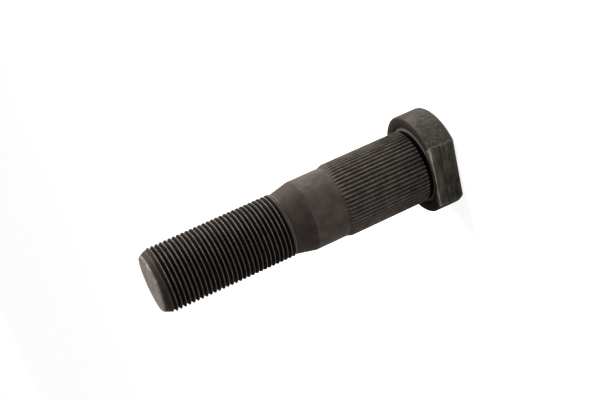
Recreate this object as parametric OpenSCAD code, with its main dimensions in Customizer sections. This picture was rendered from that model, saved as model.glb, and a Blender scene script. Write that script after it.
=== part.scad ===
// Wheel bolt of the press-in kind, forged and turned from one bar, in millimetres.
// The axis is +Z. The head's outer face lies on z = 0 and the threaded end points up.
// The flat on the head faces +X. The thread is drawn as its plain major cylinder.

/* [Head] */
// Diameter of the round part of the head
head_diameter = 34.7; // [30:0.1:42]
// Thickness of the head, from its outer face to its seat
head_thickness = 9.6; // [6:0.1:14]
// Distance from the axis to the flat that keeps the bolt from turning
flat_distance = 13.4; // [13.2:0.1:14]
// Width of the flat's land along the seat, before the shallow step
flat_land_width = 3.8; // [2:0.1:4]
// How far the rest of the flat stands out beyond that land
flat_step = 0.3; // [0.1:0.05:0.6]
// Rounding of the edge around the head's outer face
outer_rim_radius = 1.2; // [0.3:0.1:1.5]
// Chamfer on the edge around the seat
seat_chamfer = 0.4; // [0.1:0.05:0.6]

/* [Neck under the head] */
// Length of the plain neck between the seat and the serrations
neck_length = 1.5; // [1:0.1:4]
// Depth of the neck below the crests of the serrations
neck_depth = 0.3; // [0.15:0.05:0.6]
// Diameter of the shallow recess in the seat, around the neck
seat_recess_diameter = 28; // [27.4:0.1:29]
// Depth of that recess
seat_recess_depth = 0.3; // [0.1:0.05:0.5]
// Radius of the fillet in the corner between the neck and the recess
seat_fillet_radius = 0.5; // [0.2:0.05:0.6]

/* [Serrations] */
// Diameter over the crests of the serrations, a press fit in the hub
serrated_diameter = 25.6; // [24.8:0.1:26]
// Length of the serrated stretch, with its lead-in
serrated_length = 30.4; // [15:0.1:50]
// Number of teeth around the shank
serration_count = 57; // [30:1:80]
// Depth of the grooves between the teeth
serration_depth = 0.7; // [0.3:0.05:0.7]
// Width of a tooth's flat crest, as a share of the tooth pitch
crest_share = 0.24; // [0.1:0.02:0.4]
// Width of a groove's flat bottom, as a share of the tooth pitch
root_share = 0.12; // [0.04:0.02:0.3]
// Length of the slope on which the teeth rise from the guide
lead_in_length = 1.7; // [0.8:0.1:4]

/* [Guide and cone] */
// Diameter of the plain guide that enters the hub's bore first
guide_diameter = 24.4; // [23.4:0.1:24.7]
// Length of the plain guide
guide_length = 11.5; // [4:0.1:30]
// Length of the cone between the guide and the thread
cone_length = 7.5; // [3:0.1:20]

/* [Thread] */
// Major diameter of the thread
thread_diameter = 22; // [18:0.5:23]
// Pitch of the thread
thread_pitch = 1.5; // [1:0.25:2]
// Length of the threaded end, with its tapered tip
thread_length = 46.5; // [20:0.5:80]
// Length of the taper at the tip
tip_taper_length = 3.5; // [1.5:0.1:6]
// How far the taper comes in from the crests of the thread
tip_taper_depth = 1.3; // [0.6:0.1:2.5]
// Small break on the edge of the tip's flat end
tip_edge_break = 0.5; // [0.2:0.1:1]

/* [Hidden] */

$fn = 120;
steel = [0.22, 0.20, 0.18];
margin = 1;

// Radii that follow from the sizes above
head_r = head_diameter / 2;
crest_r = serrated_diameter / 2;
root_r = crest_r - serration_depth;
neck_r = crest_r - neck_depth;
seat_recess_r = seat_recess_diameter / 2;
guide_r = guide_diameter / 2;
thread_r = thread_diameter / 2;
tip_r = thread_r - tip_taper_depth;
step_place = flat_distance + flat_step;

// The bar before rolling has the pitch diameter of a thread with flanks of 60 degrees
thread_height = thread_pitch * sqrt(3) / 2;
blank_r = thread_r - thread_height * 3 / 8;
run_out_length = thread_r - blank_r;

// Heights along the axis, from the seat to the tip
seat_z = head_thickness;
recess_z = seat_z - seat_recess_depth;
land_z = seat_z - flat_land_width;
serration_z = seat_z + neck_length;
guide_z = serration_z + serrated_length;
cone_z = guide_z + guide_length;
thread_z = cone_z + cone_length;
tip_z = thread_z + thread_length;

// How far the grooves run on into the neck and the guide
groove_overrun = 0.3;

// Where a tooth's flanks start and end, as shares of the pitch from the tooth's middle
root_place = 0.5 - root_share / 2;
crest_place = crest_share / 2;
flank_overrun = serration_depth / 10;
flank_end_r = crest_r + flank_overrun;
flank_end_place = crest_place - (root_place - crest_place) * flank_overrun / serration_depth;

module wheel_bolt() {
    color(steel)
        difference() {
            union() {
                head_blank();
                shank_blank();
            }
            head_flat();
            serration_grooves();
        }
}

// Round forged head, with a rounded outer rim, a chamfered seat rim and a recessed seat
module head_blank() {
    rotate_extrude()
        difference() {
            square([head_r, head_thickness]);
            outer_rim_corner(head_r);
            seat_rim_corner(head_r);
            seat_recess();
        }
}

// Shallow recess in the middle of the seat with a sloping wall, as a section
module seat_recess() {
    polygon([
        [0, recess_z],
        [seat_recess_r - seat_recess_depth, recess_z],
        [seat_recess_r + margin, seat_z + margin],
        [0, seat_z + margin]
    ]);
}

// What the rounding takes off an edge of the outer face, as a section
module outer_rim_corner(edge_place) {
    translate([edge_place - outer_rim_radius, outer_rim_radius])
        difference() {
            translate([0, -outer_rim_radius - margin])
                square(outer_rim_radius + margin);
            circle(outer_rim_radius);
        }
}

// What the chamfer takes off an edge of the seat, as a section
module seat_rim_corner(edge_place) {
    translate([edge_place, seat_z])
        rotate(45)
            square(seat_chamfer * sqrt(2), center = true);
}

// Turned shank from the seat to the tip, with the fillet that carries it into the head
module shank_blank() {
    rotate_extrude()
        union() {
            polygon([
                [0, seat_z / 2],
                [neck_r, seat_z / 2],
                [neck_r, serration_z],
                [crest_r, serration_z + neck_depth],
                [crest_r, guide_z - lead_in_length],
                [guide_r, guide_z],
                [guide_r, cone_z],
                [blank_r, thread_z],
                [thread_r, thread_z + run_out_length],
                [thread_r, tip_z - tip_taper_length],
                [tip_r, tip_z - tip_edge_break],
                [tip_r - tip_edge_break, tip_z],
                [0, tip_z]
            ]);
            seat_fillet();
        }
}

// Fillet in the corner between the neck and the recess, as a section
module seat_fillet() {
    translate([neck_r, recess_z])
        difference() {
            translate([-margin, -margin])
                square(seat_fillet_radius + margin);
            translate([seat_fillet_radius, seat_fillet_radius])
                circle(seat_fillet_radius);
        }
}

// What is cut off one side of the head, as a section drawn out along Y.
// The land beside the seat lies a little deeper than the rest of the flat.
module head_flat() {
    rotate([90, 0, 0])
        linear_extrude(head_diameter + 2 * margin, center = true)
            union() {
                polygon([
                    [flat_distance, seat_z + margin],
                    [flat_distance, land_z],
                    [step_place, land_z - flat_step],
                    [step_place, -margin],
                    [head_r + margin, -margin],
                    [head_r + margin, seat_z + margin]
                ]);
                outer_rim_corner(step_place);
                seat_rim_corner(flat_distance);
            }
}

// The grooves between the teeth, as one sleeve whose inside is the toothed outline
module serration_grooves() {
    translate([0, 0, serration_z - groove_overrun])
        linear_extrude(serrated_length + 2 * groove_overrun)
            difference() {
                circle(crest_r + margin);
                polygon(toothed_outline());
            }
}

// Outline across the teeth, with four corners to each: root, top, top and root.
// The flanks run on past the crest, so that the crest itself stays round.
// The middle of a groove faces the same way as the flat, half a pitch from a tooth.
function toothed_outline() = [
    for (tooth = [0.5 : serration_count], corner = [0 : 3])
        corner_radius(corner) * direction((tooth + corner_place(corner)) * 360 / serration_count)
];

function corner_radius(corner) = (corner == 1 || corner == 2) ? flank_end_r : root_r;

function corner_place(corner) = [-root_place, -flank_end_place, flank_end_place, root_place][corner];

function direction(angle) = [cos(angle), sin(angle)];

wheel_bolt();
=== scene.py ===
# One press-in wheel bolt of dark phosphated steel, standing on its head on a plain pale floor.
# Its axis is +Z, from the head to the threaded tip, and the flat on the head faces +X.
import math

import bmesh
import bpy
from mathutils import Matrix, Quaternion, Vector


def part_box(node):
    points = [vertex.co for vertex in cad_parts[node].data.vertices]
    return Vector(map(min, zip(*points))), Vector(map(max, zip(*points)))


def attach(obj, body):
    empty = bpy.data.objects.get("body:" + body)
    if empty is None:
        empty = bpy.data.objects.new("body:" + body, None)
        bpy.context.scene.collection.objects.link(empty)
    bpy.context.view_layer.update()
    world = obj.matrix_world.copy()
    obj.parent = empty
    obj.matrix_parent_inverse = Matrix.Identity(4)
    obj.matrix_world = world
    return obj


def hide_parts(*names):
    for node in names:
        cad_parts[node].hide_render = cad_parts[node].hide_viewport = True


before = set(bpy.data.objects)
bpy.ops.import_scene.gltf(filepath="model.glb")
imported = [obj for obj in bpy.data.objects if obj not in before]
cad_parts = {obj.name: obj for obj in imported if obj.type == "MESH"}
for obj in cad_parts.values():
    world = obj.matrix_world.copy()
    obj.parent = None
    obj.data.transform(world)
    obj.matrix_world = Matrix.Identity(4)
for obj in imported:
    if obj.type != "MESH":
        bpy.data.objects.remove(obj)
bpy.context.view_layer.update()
bolt_low, bolt_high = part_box("wheel_bolt")
mm = 0.001


# Camera
# It stands where the photograph was taken from, beside the bolt and a little higher than its
# tip, and is rolled so that the tip points down to the left.
view_distance = 360.3 * mm
view_turn = math.radians(30.0)
view_rise = math.radians(16.36)
view_roll = math.radians(-114.23)
view_aim = Vector((-1.95, 4.6, 51.4)) * mm
sensor_width = 36.0
focal_length = 66.0

view_direction = Vector(
    (
        math.cos(view_rise) * math.cos(view_turn),
        math.cos(view_rise) * math.sin(view_turn),
        math.sin(view_rise),
    )
)
camera_data = bpy.data.cameras.new("photo_camera")
camera_data.sensor_width = sensor_width
camera_data.lens = focal_length
camera_data.clip_start = 10 * mm
camera_data.clip_end = 100.0
camera = bpy.data.objects.new("photo_camera", camera_data)
camera.location = view_aim + view_direction * view_distance
level_view = view_direction.to_track_quat("Z", "Y")
camera.rotation_mode = "QUATERNION"
camera.rotation_quaternion = level_view @ Quaternion((0, 0, 1), view_roll)
bpy.context.collection.objects.link(camera)
bpy.context.scene.camera = camera


# Blank
# The bolt is forged and turned from one bar. The blank is that bar before its teeth and thread
# are rolled: rings of points from the head's outer face up to the tip.
head_radius = -bolt_low[0]
flat_reach = bolt_high[0]
tip_z = bolt_high[2]
head_thickness = 9.6 * mm
outer_rim = 1.2 * mm
seat_chamfer = 0.4 * mm
flat_step = 0.3 * mm
land_width = 3.8 * mm
seat_recess = 14.0 * mm
recess_depth = 0.3 * mm
neck_length = 1.5 * mm
neck_radius = 12.5 * mm
seat_fillet = 0.5 * mm
crest_radius = 12.8 * mm
tooth_depth = 0.7 * mm
serrated_length = 30.4 * mm
lead_in = 1.7 * mm
guide_radius = 12.2 * mm
guide_length = 11.5 * mm
cone_length = 7.5 * mm
thread_blank = 10.513 * mm
thread_radius = 11.0 * mm
thread_pitch = 1.5 * mm
thread_depth = 0.92 * mm
tip_taper_length = 3.5 * mm
tip_taper_depth = 1.3 * mm
tip_edge = 0.5 * mm

land_reach = flat_reach - flat_step
seat_reach = land_reach - seat_chamfer
seat_radius = head_radius - seat_chamfer
seat_z = head_thickness
land_z = seat_z - land_width
recess_z = seat_z - recess_depth
recess_floor = seat_recess - recess_depth
serration_z = seat_z + neck_length
crest_z = serration_z + crest_radius - neck_radius
guide_z = serration_z + serrated_length
cone_z = guide_z + guide_length
thread_z = cone_z + cone_length
tip_radius = thread_radius - tip_taper_depth
tip_face = tip_radius - tip_edge
taper_z = tip_z - tip_edge
cone_slope = (thread_blank - guide_radius) / cone_length
lead_slope = (guide_radius - crest_radius) / lead_in
no_flat = 1.0

# Teeth and thread, with their profiles as shares of the pitch from the middle of a ridge. The
# mesh has a place on each side of a crest's edge, so that wear can fade across it.
tooth_count = 57
tooth_crest = 0.12
tooth_root = 0.44
tooth_places = (-tooth_root, -0.17, -0.07, 0.07, 0.17, tooth_root)
thread_crest = 0.0625
thread_root = 0.4165
thread_places = (-thread_root, -0.1, -0.035, 0.035, 0.1, thread_root)
thread_start = 0.37

# How light each stretch is rubbed or given a painted highlight, and how dark its own tone or
# painted shade makes it, from 0 to 1. A rub of more than 1 leaves few gaps in a worn edge.
head_rub = 0.27
head_dark = 0.7
flat_even_rub = 0.25
rim_rub = 0.25
rim_flat_rub = 0.2
chamfer_rub = 2.0
recess_painted_shade = 0.85
fillet_painted_highlight = 0.35
tooth_end_painted_highlight = 0.8
crest_rub = 0.4
guide_rub = 0.1
cone_painted_shade = 0.25
tip_face_rub = 0.36

arc_steps = 6
edge_break = 0.12 * mm
edge_support = 0.4 * mm


def ring(z, radius, flat=no_flat, rub_and_highlight=0.0, flat_rub=0.0, tone_and_shade=0.0, kind="turned"):
    return {
        "z": z,
        "radius": radius,
        "flat": flat,
        "rub_and_highlight": rub_and_highlight,
        "flat_rub": flat_rub,
        "tone_and_shade": tone_and_shade,
        "kind": kind,
    }


def head_ring(z, flat, flat_rub=flat_even_rub):
    return ring(z, head_radius, flat, rub_and_highlight=head_rub, flat_rub=flat_rub, tone_and_shade=head_dark)


def seat_ring(z, radius, tone_and_shade, rub_and_highlight=0.0, flat_rub=rim_flat_rub):
    return ring(z, radius, rub_and_highlight=rub_and_highlight, flat_rub=flat_rub, tone_and_shade=tone_and_shade, kind="seat")


def outer_rim_rings():
    for step in range(arc_steps + 1):
        turn = 0.5 * math.pi * step / arc_steps
        inset = outer_rim * (1 - math.sin(turn))
        yield ring(
            outer_rim * (1 - math.cos(turn)),
            head_radius - inset,
            flat_reach - inset,
            rub_and_highlight=rim_rub * math.sin(2 * turn),
            flat_rub=rim_flat_rub,
        )


# The seat's fillet: a painted highlight across its middle, painted shade deepening to the neck.
def seat_fillet_rings():
    for step in range(arc_steps + 1):
        turn = 0.5 * math.pi * step / arc_steps
        yield ring(
            recess_z + seat_fillet * (1 - math.cos(turn)),
            neck_radius + seat_fillet * (1 - math.sin(turn)),
            rub_and_highlight=fillet_painted_highlight * math.sin(2 * turn) ** 3,
            tone_and_shade=turn / (0.5 * math.pi),
        )


def broken_edge(z, radius, slope_before, slope_after, rub_and_highlight, shade_after=0.0):
    for beyond in (-edge_support, -edge_break):
        yield ring(z + beyond, radius + slope_before * beyond, rub_and_highlight=rub_and_highlight)
    for beyond in (edge_break, edge_support):
        yield ring(z + beyond, radius + slope_after * beyond, rub_and_highlight=rub_and_highlight, tone_and_shade=shade_after)


def thread_rings():
    turns = math.ceil((taper_z - thread_z) / thread_pitch) + 1
    for turn in range(turns):
        for place in thread_places:
            z = thread_z + thread_pitch * (turn + thread_start - 1 + place)
            yield ring(z, thread_radius, kind="threaded")


blank_rings = [
    ring(0, 0),
    ring(0, 0.5 * head_radius),
    *outer_rim_rings(),
    head_ring(outer_rim + edge_support, flat_reach),
    head_ring(0.5 * (outer_rim + land_z), flat_reach),
    head_ring(land_z - flat_step - edge_support, flat_reach),
    head_ring(land_z - flat_step, flat_reach, flat_rub=0.5),
    head_ring(land_z, land_reach, flat_rub=0.1),
    head_ring(land_z + edge_support, land_reach),
    head_ring(seat_z - seat_chamfer - edge_support, land_reach, flat_rub=0.35),
    head_ring(seat_z - seat_chamfer, land_reach, flat_rub=chamfer_rub),
    # Painted shade on the seat and its recess, and full painted shade on the neck.
    seat_ring(seat_z, seat_radius, tone_and_shade=0.4, flat_rub=0.5),
    seat_ring(seat_z, seat_radius - edge_support, tone_and_shade=0.6),
    seat_ring(seat_z, seat_recess, tone_and_shade=recess_painted_shade),
    seat_ring(recess_z, recess_floor, tone_and_shade=recess_painted_shade, rub_and_highlight=0.05),
    *seat_fillet_rings(),
    ring(serration_z, neck_radius, tone_and_shade=1.0),
    # The ends of the teeth get a painted highlight.
    ring(crest_z, crest_radius, rub_and_highlight=tooth_end_painted_highlight),
    ring(crest_z + edge_support, crest_radius, rub_and_highlight=crest_rub),
    ring(0.5 * (serration_z + guide_z), crest_radius, rub_and_highlight=crest_rub),
    *broken_edge(guide_z - lead_in, crest_radius, 0, lead_slope, rub_and_highlight=crest_rub),
    *broken_edge(guide_z, guide_radius, lead_slope, 0, rub_and_highlight=guide_rub),
    ring(0.5 * (guide_z + cone_z), guide_radius, rub_and_highlight=guide_rub),
    # The cone gets painted shade.
    *broken_edge(cone_z, guide_radius, 0, cone_slope, rub_and_highlight=0.08, shade_after=0.4),
    ring(0.5 * (cone_z + thread_z), 0.5 * (guide_radius + thread_blank), tone_and_shade=cone_painted_shade),
    ring(thread_z - edge_support, thread_blank - cone_slope * edge_support, tone_and_shade=cone_painted_shade),
    ring(thread_z - edge_break, thread_blank - cone_slope * edge_break, rub_and_highlight=crest_rub),
    ring(thread_z, thread_blank, rub_and_highlight=crest_rub),
    *thread_rings(),
    # The edge of the tip is rubbed light, partly as wear and partly as a painted highlight.
    ring(taper_z, tip_radius, rub_and_highlight=0.9),
    ring(tip_z, tip_face, rub_and_highlight=0.8),
    ring(tip_z, tip_face - edge_support, rub_and_highlight=tip_face_rub),
    ring(tip_z, 0.5 * tip_radius, rub_and_highlight=tip_face_rub),
    ring(tip_z, 0, rub_and_highlight=tip_face_rub),
]

# Places around the bolt, as shares of a turn. Each tooth has six of them, and on the head one
# on each side moves to the corner between the flat and the round.
around_places = [
    (tooth + 0.5 + place) / tooth_count for tooth in range(tooth_count) for place in tooth_places
]
columns = len(around_places) + 1
land_corner = math.acos(land_reach / head_radius) / (2 * math.pi)
corner_column = min(range(columns - 1), key=lambda column: abs(around_places[column] - land_corner))


def places_around(turned):
    places = list(around_places)
    if turned["radius"] > seat_recess:
        reach = seat_reach if turned["kind"] == "seat" else turned["flat"]
        corner = math.acos(min(1, reach / turned["radius"])) / (2 * math.pi)
        places[corner_column] = corner
        places[-1 - corner_column] = 1 - corner
    return places + [places[0] + 1]


points = []
around_values = []
for turned in blank_rings:
    for around in places_around(turned):
        angle = 2 * math.pi * around
        points.append(
            (turned["radius"] * math.cos(angle), turned["radius"] * math.sin(angle), turned["z"])
        )
        around_values.append(around)
faces = []
for row in range(len(blank_rings) - 1):
    for column in range(columns - 1):
        corner = row * columns + column
        faces.append((corner, corner + 1, corner + columns + 1, corner + columns))

blank_mesh = bpy.data.meshes.new("wheel_bolt_blank")
blank_mesh.from_pydata(points, [], faces)
row_values = {
    name: [turned[name] for turned in blank_rings] for name in ("flat", "rub_and_highlight", "flat_rub", "tone_and_shade")
}
for kind in ("threaded", "seat"):
    row_values[kind] = [float(turned["kind"] == kind) for turned in blank_rings]
around_attribute = blank_mesh.attributes.new("around", "FLOAT", "POINT")
around_attribute.data.foreach_set("value", around_values)
for name, values in row_values.items():
    attribute = blank_mesh.attributes.new(name, "FLOAT", "POINT")
    attribute.data.foreach_set("value", [value for value in values for _ in range(columns)])
bolt = bpy.data.objects.new("bolt", blank_mesh)
bpy.context.collection.objects.link(bolt)


# Finish
# Dark brown-black phosphate on steel, oiled, mottled and with a fine dull grain. It is rubbed
# lighter in patches on crests and edges, and in streaks along the flat. Painted shade makes it
# nearly black in the grooves and in the corner under the head, and painted highlights lighten
# the seat's fillet, the ends of the teeth and the edge of the tip.
phosphate_brown = (0.108, 0.085, 0.075, 1)
phosphate_dark = (0.066, 0.051, 0.046, 1)
shade_and_tone_black = (0.003, 0.0025, 0.0023, 1)
rubbed_steel_and_highlight = (0.40, 0.385, 0.31, 1)
streak_stretch = (1, 0.1, 1)
hollow_roughness = 0.95

steel = bpy.data.materials.new("phosphated_steel")
steel.use_nodes = True
nodes = steel.node_tree.nodes
links = steel.node_tree.links
nodes.clear()


def feed(tree, target, source):
    if isinstance(source, bpy.types.NodeSocket):
        tree.links.new(source, target)
    else:
        target.default_value = source


def shader_node(kind, **settings):
    made = nodes.new(kind)
    for key, value in settings.items():
        if key in made.inputs:
            made.inputs[key].default_value = value
        else:
            setattr(made, key, value)
    return made


def noise(vector, **settings):
    made = shader_node("ShaderNodeTexNoise", **settings)
    links.new(vector, made.inputs["Vector"])
    return made.outputs["Fac"]


def spread(value, low, high, at_low=0.0, at_high=1.0):
    made = shader_node("ShaderNodeMapRange")
    names = ("Value", "From Min", "From Max", "To Min", "To Max")
    for name, source in zip(names, (value, low, high, at_low, at_high)):
        feed(steel.node_tree, made.inputs[name], source)
    return made.outputs["Result"]


def mixed(data_type, first, second, share):
    made = shader_node("ShaderNodeMix", data_type=data_type)
    for name, source in (("A", first), ("B", second), ("Factor", share)):
        feed(steel.node_tree, made.inputs[name], source)
    return made.outputs["Result"]


def product(first, second):
    made = shader_node("ShaderNodeMath", operation="MULTIPLY")
    links.new(first, made.inputs[0])
    links.new(second, made.inputs[1])
    return made


def painted(name):
    return shader_node("ShaderNodeAttribute", attribute_name=name).outputs["Fac"]


output = shader_node("ShaderNodeOutputMaterial")
surface = shader_node("ShaderNodeBsdfPrincipled", Metallic=0.0)
surface.inputs["Specular IOR Level"].default_value = 0.03
links.new(surface.outputs["BSDF"], output.inputs["Surface"])
place = shader_node("ShaderNodeTexCoord").outputs["Object"]
mottle = noise(place, Scale=260.0, Detail=6.0, Roughness=0.6)
brown = mixed("RGBA", phosphate_dark, phosphate_brown, spread(mottle, low=0.3, high=0.7))
# Dark mask: the head's darker tone, and painted shade in grooves, recess, neck, cone and taper.
tone_and_painted_shade = painted("tone_and_painted_shade")
toned_and_shaded = mixed("RGBA", brown, shade_and_tone_black, tone_and_painted_shade)

along_flat = shader_node("ShaderNodeMapping", Scale=streak_stretch)
links.new(place, along_flat.inputs["Vector"])
rub_place = mixed("VECTOR", place, along_flat.outputs["Vector"], painted("cut"))
rub_noise = noise(rub_place, Scale=1400.0, Detail=4.0, Roughness=0.7)
rub_break = spread(rub_noise, low=0.25, high=0.75)
patch_wear = spread(mottle, low=0.35, high=0.65, at_low=0.6, at_high=1.4)
worn_patch = product(rub_break, patch_wear)
# The rub mask holds real wear and painted highlights, broken up in patches.
rub_and_highlight_amount = product(painted("rub_and_highlight"), worn_patch.outputs["Value"])
rub_and_highlight_amount.use_clamp = True
coloured = mixed("RGBA", toned_and_shaded, rubbed_steel_and_highlight, rub_and_highlight_amount.outputs["Value"])
links.new(coloured, surface.inputs["Base Color"])

dullness = spread(mottle, low=0.0, high=1.0, at_low=0.5, at_high=0.7)
links.new(mixed("FLOAT", dullness, hollow_roughness, tone_and_painted_shade), surface.inputs["Roughness"])
grain = shader_node("ShaderNodeBump", Strength=0.35, Distance=0.05 * mm)
links.new(noise(place, Scale=2600.0, Detail=3.0), grain.inputs["Height"])
links.new(grain.outputs["Normal"], surface.inputs["Normal"])


# Rolling tree
# One Geometry Nodes tree makes the bolt from its blank: it rolls the teeth and the thread, cuts
# the flat, and says where the finish is rubbed or given painted highlights, and where it is
# darkened by its tone or by painted shade.
form = bpy.data.node_groups.new("rolled_bolt", "GeometryNodeTree")
form.is_modifier = True
form.interface.new_socket(name="Blank", in_out="INPUT", socket_type="NodeSocketGeometry")
form.interface.new_socket(name="Bolt", in_out="OUTPUT", socket_type="NodeSocketGeometry")
sizes = {
    "Tooth Count": tooth_count,
    "Tooth Crest": tooth_crest,
    "Tooth Root": tooth_root,
    "Tooth Top": crest_radius,
    "Tooth Bottom": crest_radius - tooth_depth,
    "Teeth From": serration_z - 0.1 * mm,
    "Teeth To": guide_z + 0.3 * mm,
    "Lead In From": guide_z - lead_in,
    "Thread Pitch": thread_pitch,
    "Thread Start": thread_start,
    "Thread Crest": thread_crest,
    "Thread Root": thread_root,
    "Thread Top": thread_radius,
    "Thread Bottom": thread_radius - thread_depth,
    "Thread From": thread_z,
    "Thread To": taper_z - 0.15 * mm,
    "Blank Radius": thread_blank,
    "Groove Starts": 0.3 * mm,
    "Groove Full": 1.3 * mm,
    "Full Depth From Tip": 3.2 * mm,
    "Shallow From Tip": 0.8 * mm,
    "Taper From": tip_z - tip_taper_length,
    "Taper To": taper_z,
    "Tip Radius": tip_radius,
    "Flat At Seat": seat_reach,
    "Seat Height": seat_z,
    "Recess Depth": recess_depth,
    "Recess Floor": recess_floor,
}
wear_and_painted_light = {
    "Tooth Rub To": 0.25,
    "Tooth Groove Shade": 0.55,
    "Lead In Shade Share": 0.2,
    "Thread Rub": 0.8,
    "Thread Rub From": 0.035,
    "Thread Rub To": 0.1,
    "Thread Groove Shade": 0.9,
    "Thread Groove Shade From": 0.04,
    "Thread Groove Shade To": 0.12,
    "Taper Rub Share": 0.4,
    "Taper Shade": 0.45,
    "Taper Shade From": 0.5 * tip_taper_length,
    "Taper Shade To": tip_taper_length,
    "Corner Rub": 0.8,
    "Corner Rub Width": 0.15 * mm,
    "Neck Shade": 0.75,
    "Neck Shade From": serration_z + 1.5 * mm,
    "Neck Shade To": serration_z + 9.0 * mm,
}
identifiers = {}
for name in (*sizes, *wear_and_painted_light):
    socket = form.interface.new_socket(name=name, in_out="INPUT", socket_type="NodeSocketFloat")
    identifiers[name] = socket.identifier
finish_socket = form.interface.new_socket(
    name="Finish", in_out="INPUT", socket_type="NodeSocketMaterial"
)
form_in = form.nodes.new("NodeGroupInput")
form_out = form.nodes.new("NodeGroupOutput")
given = form_in.outputs


def calculate(operation, *values):
    made = form.nodes.new("ShaderNodeMath")
    made.operation = operation
    for target, value in zip(made.inputs, values):
        feed(form, target, value)
    return made.outputs[0]


def between(value, low, high, at_low, at_high, smooth=False):
    made = form.nodes.new("ShaderNodeMapRange")
    made.interpolation_type = "SMOOTHSTEP" if smooth else "LINEAR"
    names = ("Value", "From Min", "From Max", "To Min", "To Max")
    for name, source in zip(names, (value, low, high, at_low, at_high)):
        feed(form, made.inputs[name], source)
    return made.outputs["Result"]


def choose(condition, when_false, when_true):
    return between(condition, 0.0, 1.0, when_false, when_true)


def stored(name):
    made = form.nodes.new("GeometryNodeInputNamedAttribute")
    made.data_type = "FLOAT"
    made.inputs["Name"].default_value = name
    return made.outputs["Attribute"]


def distance_from_ridge(phase):
    nearest = calculate("ROUND", phase)
    return calculate("ABSOLUTE", calculate("SUBTRACT", phase, nearest))


position = form.nodes.new("GeometryNodeInputPosition")
apart = form.nodes.new("ShaderNodeSeparateXYZ")
form.links.new(position.outputs["Position"], apart.inputs["Vector"])
height = apart.outputs["Z"]
around_now = stored("around")
blank_radius = calculate(
    "SQRT",
    calculate(
        "ADD",
        calculate("MULTIPLY", apart.outputs["X"], apart.outputs["X"]),
        calculate("MULTIPLY", apart.outputs["Y"], apart.outputs["Y"]),
    ),
)


# Teeth
# Straight ridges, rolled between toothed dies. They rise from the guide on the slope of the
# blank and end open at the neck.
tooth_phase = calculate("SUBTRACT", calculate("MULTIPLY", around_now, given["Tooth Count"]), 0.5)
tooth_offset = distance_from_ridge(tooth_phase)
tooth_radius = between(
    tooth_offset,
    given["Tooth Crest"],
    given["Tooth Root"],
    given["Tooth Top"],
    given["Tooth Bottom"],
)
on_teeth = calculate(
    "MULTIPLY",
    calculate("GREATER_THAN", height, given["Teeth From"]),
    calculate("LESS_THAN", height, given["Teeth To"]),
)
toothed_radius = calculate("MINIMUM", blank_radius, tooth_radius)


# Thread
# A right-hand helix: each point climbs with its place around the bolt. The groove runs out at
# the cone, and grows shallow on the taper at the tip.
thread_height = calculate("SUBTRACT", height, given["Thread From"])
thread_phase = calculate(
    "SUBTRACT", calculate("DIVIDE", thread_height, given["Thread Pitch"]), given["Thread Start"]
)
thread_offset = distance_from_ridge(thread_phase)
climbed = calculate("ADD", height, calculate("MULTIPLY", around_now, given["Thread Pitch"]))
thread_place = calculate(
    "MINIMUM", calculate("MAXIMUM", climbed, given["Thread From"]), given["Thread To"]
)
from_cone = calculate("SUBTRACT", thread_place, given["Thread From"])
from_tip = calculate("SUBTRACT", given["Thread To"], thread_place)
run_out = between(from_cone, given["Groove Starts"], given["Groove Full"], 0.0, 1.0, smooth=True)
tip_share = between(
    from_tip, given["Shallow From Tip"], given["Full Depth From Tip"], 0.0, 1.0, smooth=True
)
depth_share = calculate("MULTIPLY", run_out, tip_share)
ridge_share = between(thread_offset, given["Thread Crest"], given["Thread Root"], 0.0, 1.0)
cut_depth = calculate(
    "MULTIPLY",
    calculate("MULTIPLY", ridge_share, depth_share),
    calculate("SUBTRACT", given["Thread Top"], given["Thread Bottom"]),
)
ridge_radius = calculate(
    "MINIMUM",
    calculate("SUBTRACT", given["Thread Top"], cut_depth),
    calculate("ADD", given["Blank Radius"], from_cone),
)
taper_radius = between(
    thread_place, given["Taper From"], given["Taper To"], given["Thread Top"], given["Tip Radius"]
)
threaded_radius = calculate("MINIMUM", ridge_radius, taper_radius)


# Flat
# One side of the head is cut away, so that the bolt can't turn in the hub. Where the cut meets
# the recess in the seat, its upper edge follows the recess's sloping wall.
is_thread = stored("threaded")
new_radius = choose(is_thread, choose(on_teeth, blank_radius, toothed_radius), threaded_radius)
new_height = choose(is_thread, height, thread_place)

angle = calculate("MULTIPLY", around_now, 2 * math.pi)
facing = calculate("COSINE", angle)
is_seat = stored("seat")
floor_limit = calculate("ADD", given["Flat At Seat"], given["Recess Depth"])
rise = calculate(
    "DIVIDE",
    calculate("SUBTRACT", floor_limit, calculate("MULTIPLY", given["Recess Floor"], facing)),
    calculate("ADD", facing, 1.0),
)
rise = calculate("MINIMUM", calculate("MAXIMUM", rise, 0.0), given["Recess Depth"])
limit = choose(is_seat, stored("flat"), calculate("SUBTRACT", floor_limit, rise))
reach = calculate("MULTIPLY", new_radius, facing)
is_cut = calculate("GREATER_THAN", reach, limit)
kept_share = choose(is_cut, 1.0, calculate("DIVIDE", limit, reach))
cut_radius = calculate("MULTIPLY", new_radius, kept_share)
seat_height = calculate(
    "ADD", calculate("SUBTRACT", given["Seat Height"], given["Recess Depth"]), rise
)
new_height = choose(calculate("MULTIPLY", is_cut, is_seat), new_height, seat_height)
new_x = calculate("MULTIPLY", cut_radius, facing)
new_y = calculate("MULTIPLY", cut_radius, calculate("SINE", angle))
together = form.nodes.new("ShaderNodeCombineXYZ")
for target, source in zip(together.inputs, (new_x, new_y, new_height)):
    form.links.new(source, target)


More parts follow.
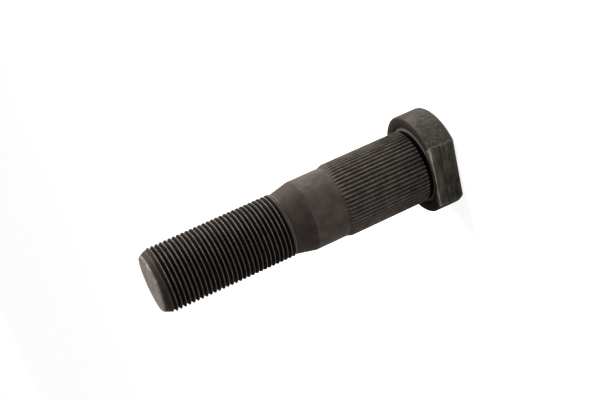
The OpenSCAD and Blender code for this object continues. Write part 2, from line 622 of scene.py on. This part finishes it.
# Rubbed places, painted highlights and painted shade
# Crests of teeth and thread are rubbed, and so are the corners of the flat. Painted shade
# darkens the grooves, the ends of the teeth near the head and the taper at the tip.
tooth_rub = between(tooth_offset, given["Tooth Crest"], given["Tooth Rub To"], 1.0, 0.0)
line_share = calculate(
    "MULTIPLY", run_out, calculate("MAXIMUM", depth_share, given["Taper Rub Share"])
)
thread_line = between(
    thread_offset, given["Thread Rub From"], given["Thread Rub To"], given["Thread Rub"], 0.0
)
thread_rub = calculate("MULTIPLY", line_share, thread_line)
round_rub_and_highlight = calculate(
    "MULTIPLY",
    choose(is_thread, stored("rub_and_highlight"), 1.0),
    choose(is_thread, choose(on_teeth, 1.0, tooth_rub), thread_rub),
)
from_corner = calculate("ABSOLUTE", calculate("SUBTRACT", reach, limit))
corner_rub = between(from_corner, 0.0, given["Corner Rub Width"], given["Corner Rub"], 0.0)
rub_and_highlight_now = calculate("MAXIMUM", choose(is_cut, round_rub_and_highlight, stored("flat_rub")), corner_rub)

# Painted shade in the grooves of the teeth and thread, lighter where the teeth rise from the guide.
tooth_groove_shade = calculate(
    "MULTIPLY",
    between(tooth_offset, given["Tooth Crest"], given["Tooth Root"], 0.0, given["Tooth Groove Shade"]),
    between(height, given["Lead In From"], given["Teeth To"], 1.0, given["Lead In Shade Share"]),
)
thread_groove_shade = calculate(
    "MULTIPLY",
    depth_share,
    between(
        thread_offset, given["Thread Groove Shade From"], given["Thread Groove Shade To"], 0.0, given["Thread Groove Shade"]
    ),
)
# Painted shade on the taper at the tip.
taper_painted_shade = between(
    from_tip, given["Taper Shade From"], given["Taper Shade To"], given["Taper Shade"], 0.0
)
# Painted shade on the teeth near the head, fading out along them.
neck_shade = calculate(
    "MULTIPLY",
    between(
        height,
        given["Neck Shade From"],
        given["Neck Shade To"],
        given["Neck Shade"],
        0.0,
        smooth=True,
    ),
    calculate("GREATER_THAN", height, given["Teeth From"]),
)
rolled_shade = choose(
    is_thread,
    calculate("MULTIPLY", on_teeth, tooth_groove_shade),
    calculate("MAXIMUM", thread_groove_shade, taper_painted_shade),
)
# The head's darker tone and all painted shade, in one mask.
tone_and_shade_now = calculate("MAXIMUM", rolled_shade, calculate("MAXIMUM", neck_shade, stored("tone_and_shade")))


# Bolt
# The tree runs on the blank, and its result is kept as one closed mesh.
weld_distance = 0.002 * mm
shortest_edge = 0.0005 * mm
sharp_angle = math.radians(32)

geometry = form_in.outputs["Blank"]
for name, value in (("rub_and_highlight", rub_and_highlight_now), ("tone_and_painted_shade", tone_and_shade_now), ("cut", is_cut)):
    store = form.nodes.new("GeometryNodeStoreNamedAttribute")
    store.data_type = "FLOAT"
    store.domain = "POINT"
    store.inputs["Name"].default_value = name
    form.links.new(geometry, store.inputs["Geometry"])
    form.links.new(value, store.inputs["Value"])
    geometry = store.outputs["Geometry"]
shape = form.nodes.new("GeometryNodeSetPosition")
form.links.new(geometry, shape.inputs["Geometry"])
form.links.new(together.outputs["Vector"], shape.inputs["Position"])
weld = form.nodes.new("GeometryNodeMergeByDistance")
weld.inputs["Distance"].default_value = weld_distance
form.links.new(shape.outputs["Geometry"], weld.inputs["Geometry"])
real = form.nodes.new("GeometryNodeRealizeInstances")
form.links.new(weld.outputs["Geometry"], real.inputs["Geometry"])
coat = form.nodes.new("GeometryNodeSetMaterial")
form.links.new(real.outputs["Geometry"], coat.inputs["Geometry"])
form.links.new(form_in.outputs["Finish"], coat.inputs["Material"])
form.links.new(coat.outputs["Geometry"], form_out.inputs["Bolt"])

rolling = bolt.modifiers.new("rolling", "NODES")
rolling.node_group = form
for name, value in (*sizes.items(), *wear_and_painted_light.items()):
    rolling[identifiers[name]] = float(value)
rolling[finish_socket.identifier] = steel

shaped = bolt.evaluated_get(bpy.context.evaluated_depsgraph_get())
bolt_mesh = bpy.data.meshes.new_from_object(shaped)
bolt.modifiers.remove(rolling)
bolt.data = bolt_mesh

cleaned = bmesh.new()
cleaned.from_mesh(bolt_mesh)
bmesh.ops.dissolve_degenerate(cleaned, dist=shortest_edge, edges=cleaned.edges)
bmesh.ops.recalc_face_normals(cleaned, faces=cleaned.faces)
cleaned.to_mesh(bolt_mesh)
cleaned.free()
bolt_mesh.shade_smooth()
bolt_mesh.set_sharp_from_angle(angle=sharp_angle)

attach(bolt, "root")
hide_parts("wheel_bolt")


# Floor and backdrop
# A plain pale floor that the bolt stands on. The camera sees floor and world as near white,
# and the floor still shows the bolt's soft shadow.
floor_reach = 30.0
floor_colour = (0.8, 0.8, 0.8, 1)
floor_glow = 0.82
world_light = 0.2
world_seen = 1.0

floor_mesh = bpy.data.meshes.new("pale_floor")
floor_mesh.from_pydata(
    [
        (-floor_reach, -floor_reach, 0),
        (floor_reach, -floor_reach, 0),
        (floor_reach, floor_reach, 0),
        (-floor_reach, floor_reach, 0),
    ],
    [],
    [(0, 1, 2, 3)],
)
floor = bpy.data.objects.new("pale_floor", floor_mesh)
bpy.context.collection.objects.link(floor)
floor_paint = bpy.data.materials.new("pale_floor_paint")
floor_paint.use_nodes = True
floor_tree = floor_paint.node_tree
floor_tree.nodes.clear()


def background_rays(tree):
    path = tree.nodes.new("ShaderNodeLightPath")
    seen = path.outputs["Is Camera Ray"]
    for other in ("Is Glossy Ray", "Is Transmission Ray"):
        either = tree.nodes.new("ShaderNodeMath")
        either.operation = "MAXIMUM"
        tree.links.new(seen, either.inputs[0])
        tree.links.new(path.outputs[other], either.inputs[1])
        seen = either.outputs["Value"]
    return seen


matt = floor_tree.nodes.new("ShaderNodeBsdfDiffuse")
matt.inputs["Color"].default_value = floor_colour
glow = floor_tree.nodes.new("ShaderNodeEmission")
glow_strength = floor_tree.nodes.new("ShaderNodeMath")
glow_strength.operation = "MULTIPLY"
glow_strength.inputs[1].default_value = floor_glow
floor_tree.links.new(background_rays(floor_tree), glow_strength.inputs[0])
floor_tree.links.new(glow_strength.outputs["Value"], glow.inputs["Strength"])
both = floor_tree.nodes.new("ShaderNodeAddShader")
floor_tree.links.new(matt.outputs["BSDF"], both.inputs[0])
floor_tree.links.new(glow.outputs["Emission"], both.inputs[1])
floor_out = floor_tree.nodes.new("ShaderNodeOutputMaterial")
floor_tree.links.new(both.outputs["Shader"], floor_out.inputs["Surface"])
floor_mesh.materials.append(floor_paint)

world = bpy.data.worlds.new("studio")
bpy.context.scene.world = world
world.use_nodes = True
world_tree = world.node_tree
world_tree.nodes.clear()
sky = world_tree.nodes.new("ShaderNodeBackground")
sky.inputs["Color"].default_value = (1, 1, 1, 1)
sky_strength = world_tree.nodes.new("ShaderNodeMapRange")
sky_strength.inputs["To Min"].default_value = world_light
sky_strength.inputs["To Max"].default_value = world_seen
world_tree.links.new(background_rays(world_tree), sky_strength.inputs["Value"])
world_tree.links.new(sky_strength.outputs["Result"], sky.inputs["Strength"])
world_out = world_tree.nodes.new("ShaderNodeOutputWorld")
world_tree.links.new(sky.outputs["Background"], world_out.inputs["Surface"])


# Lamps
# Two soft lamps on the side that the picture shows on top: a high one, which lights the tip
# and the floor, and a low one a little behind the bolt, which grazes that side.
lamp_distance = 600 * mm
lamp_width = 300 * mm


def soft_lamp(name, turn, rise, power):
    level = Quaternion((0, 0, 1), math.radians(turn))
    way = level @ Quaternion((0, -1, 0), math.radians(rise)) @ Vector((1, 0, 0))
    lamp_data = bpy.data.lights.new(name, "AREA")
    lamp_data.shape = "DISK"
    lamp_data.size = lamp_width
    lamp_data.energy = power
    lamp = bpy.data.objects.new(name, lamp_data)
    lamp.location = view_aim + way * lamp_distance
    lamp.rotation_mode = "QUATERNION"
    lamp.rotation_quaternion = way.to_track_quat("Z", "Y")
    bpy.context.collection.objects.link(lamp)


soft_lamp("overhead_lamp", turn=120, rise=60, power=3.6)
soft_lamp("low_lamp", turn=142, rise=10, power=4.0)

bpy.context.scene.view_settings.view_transform = "Standard"
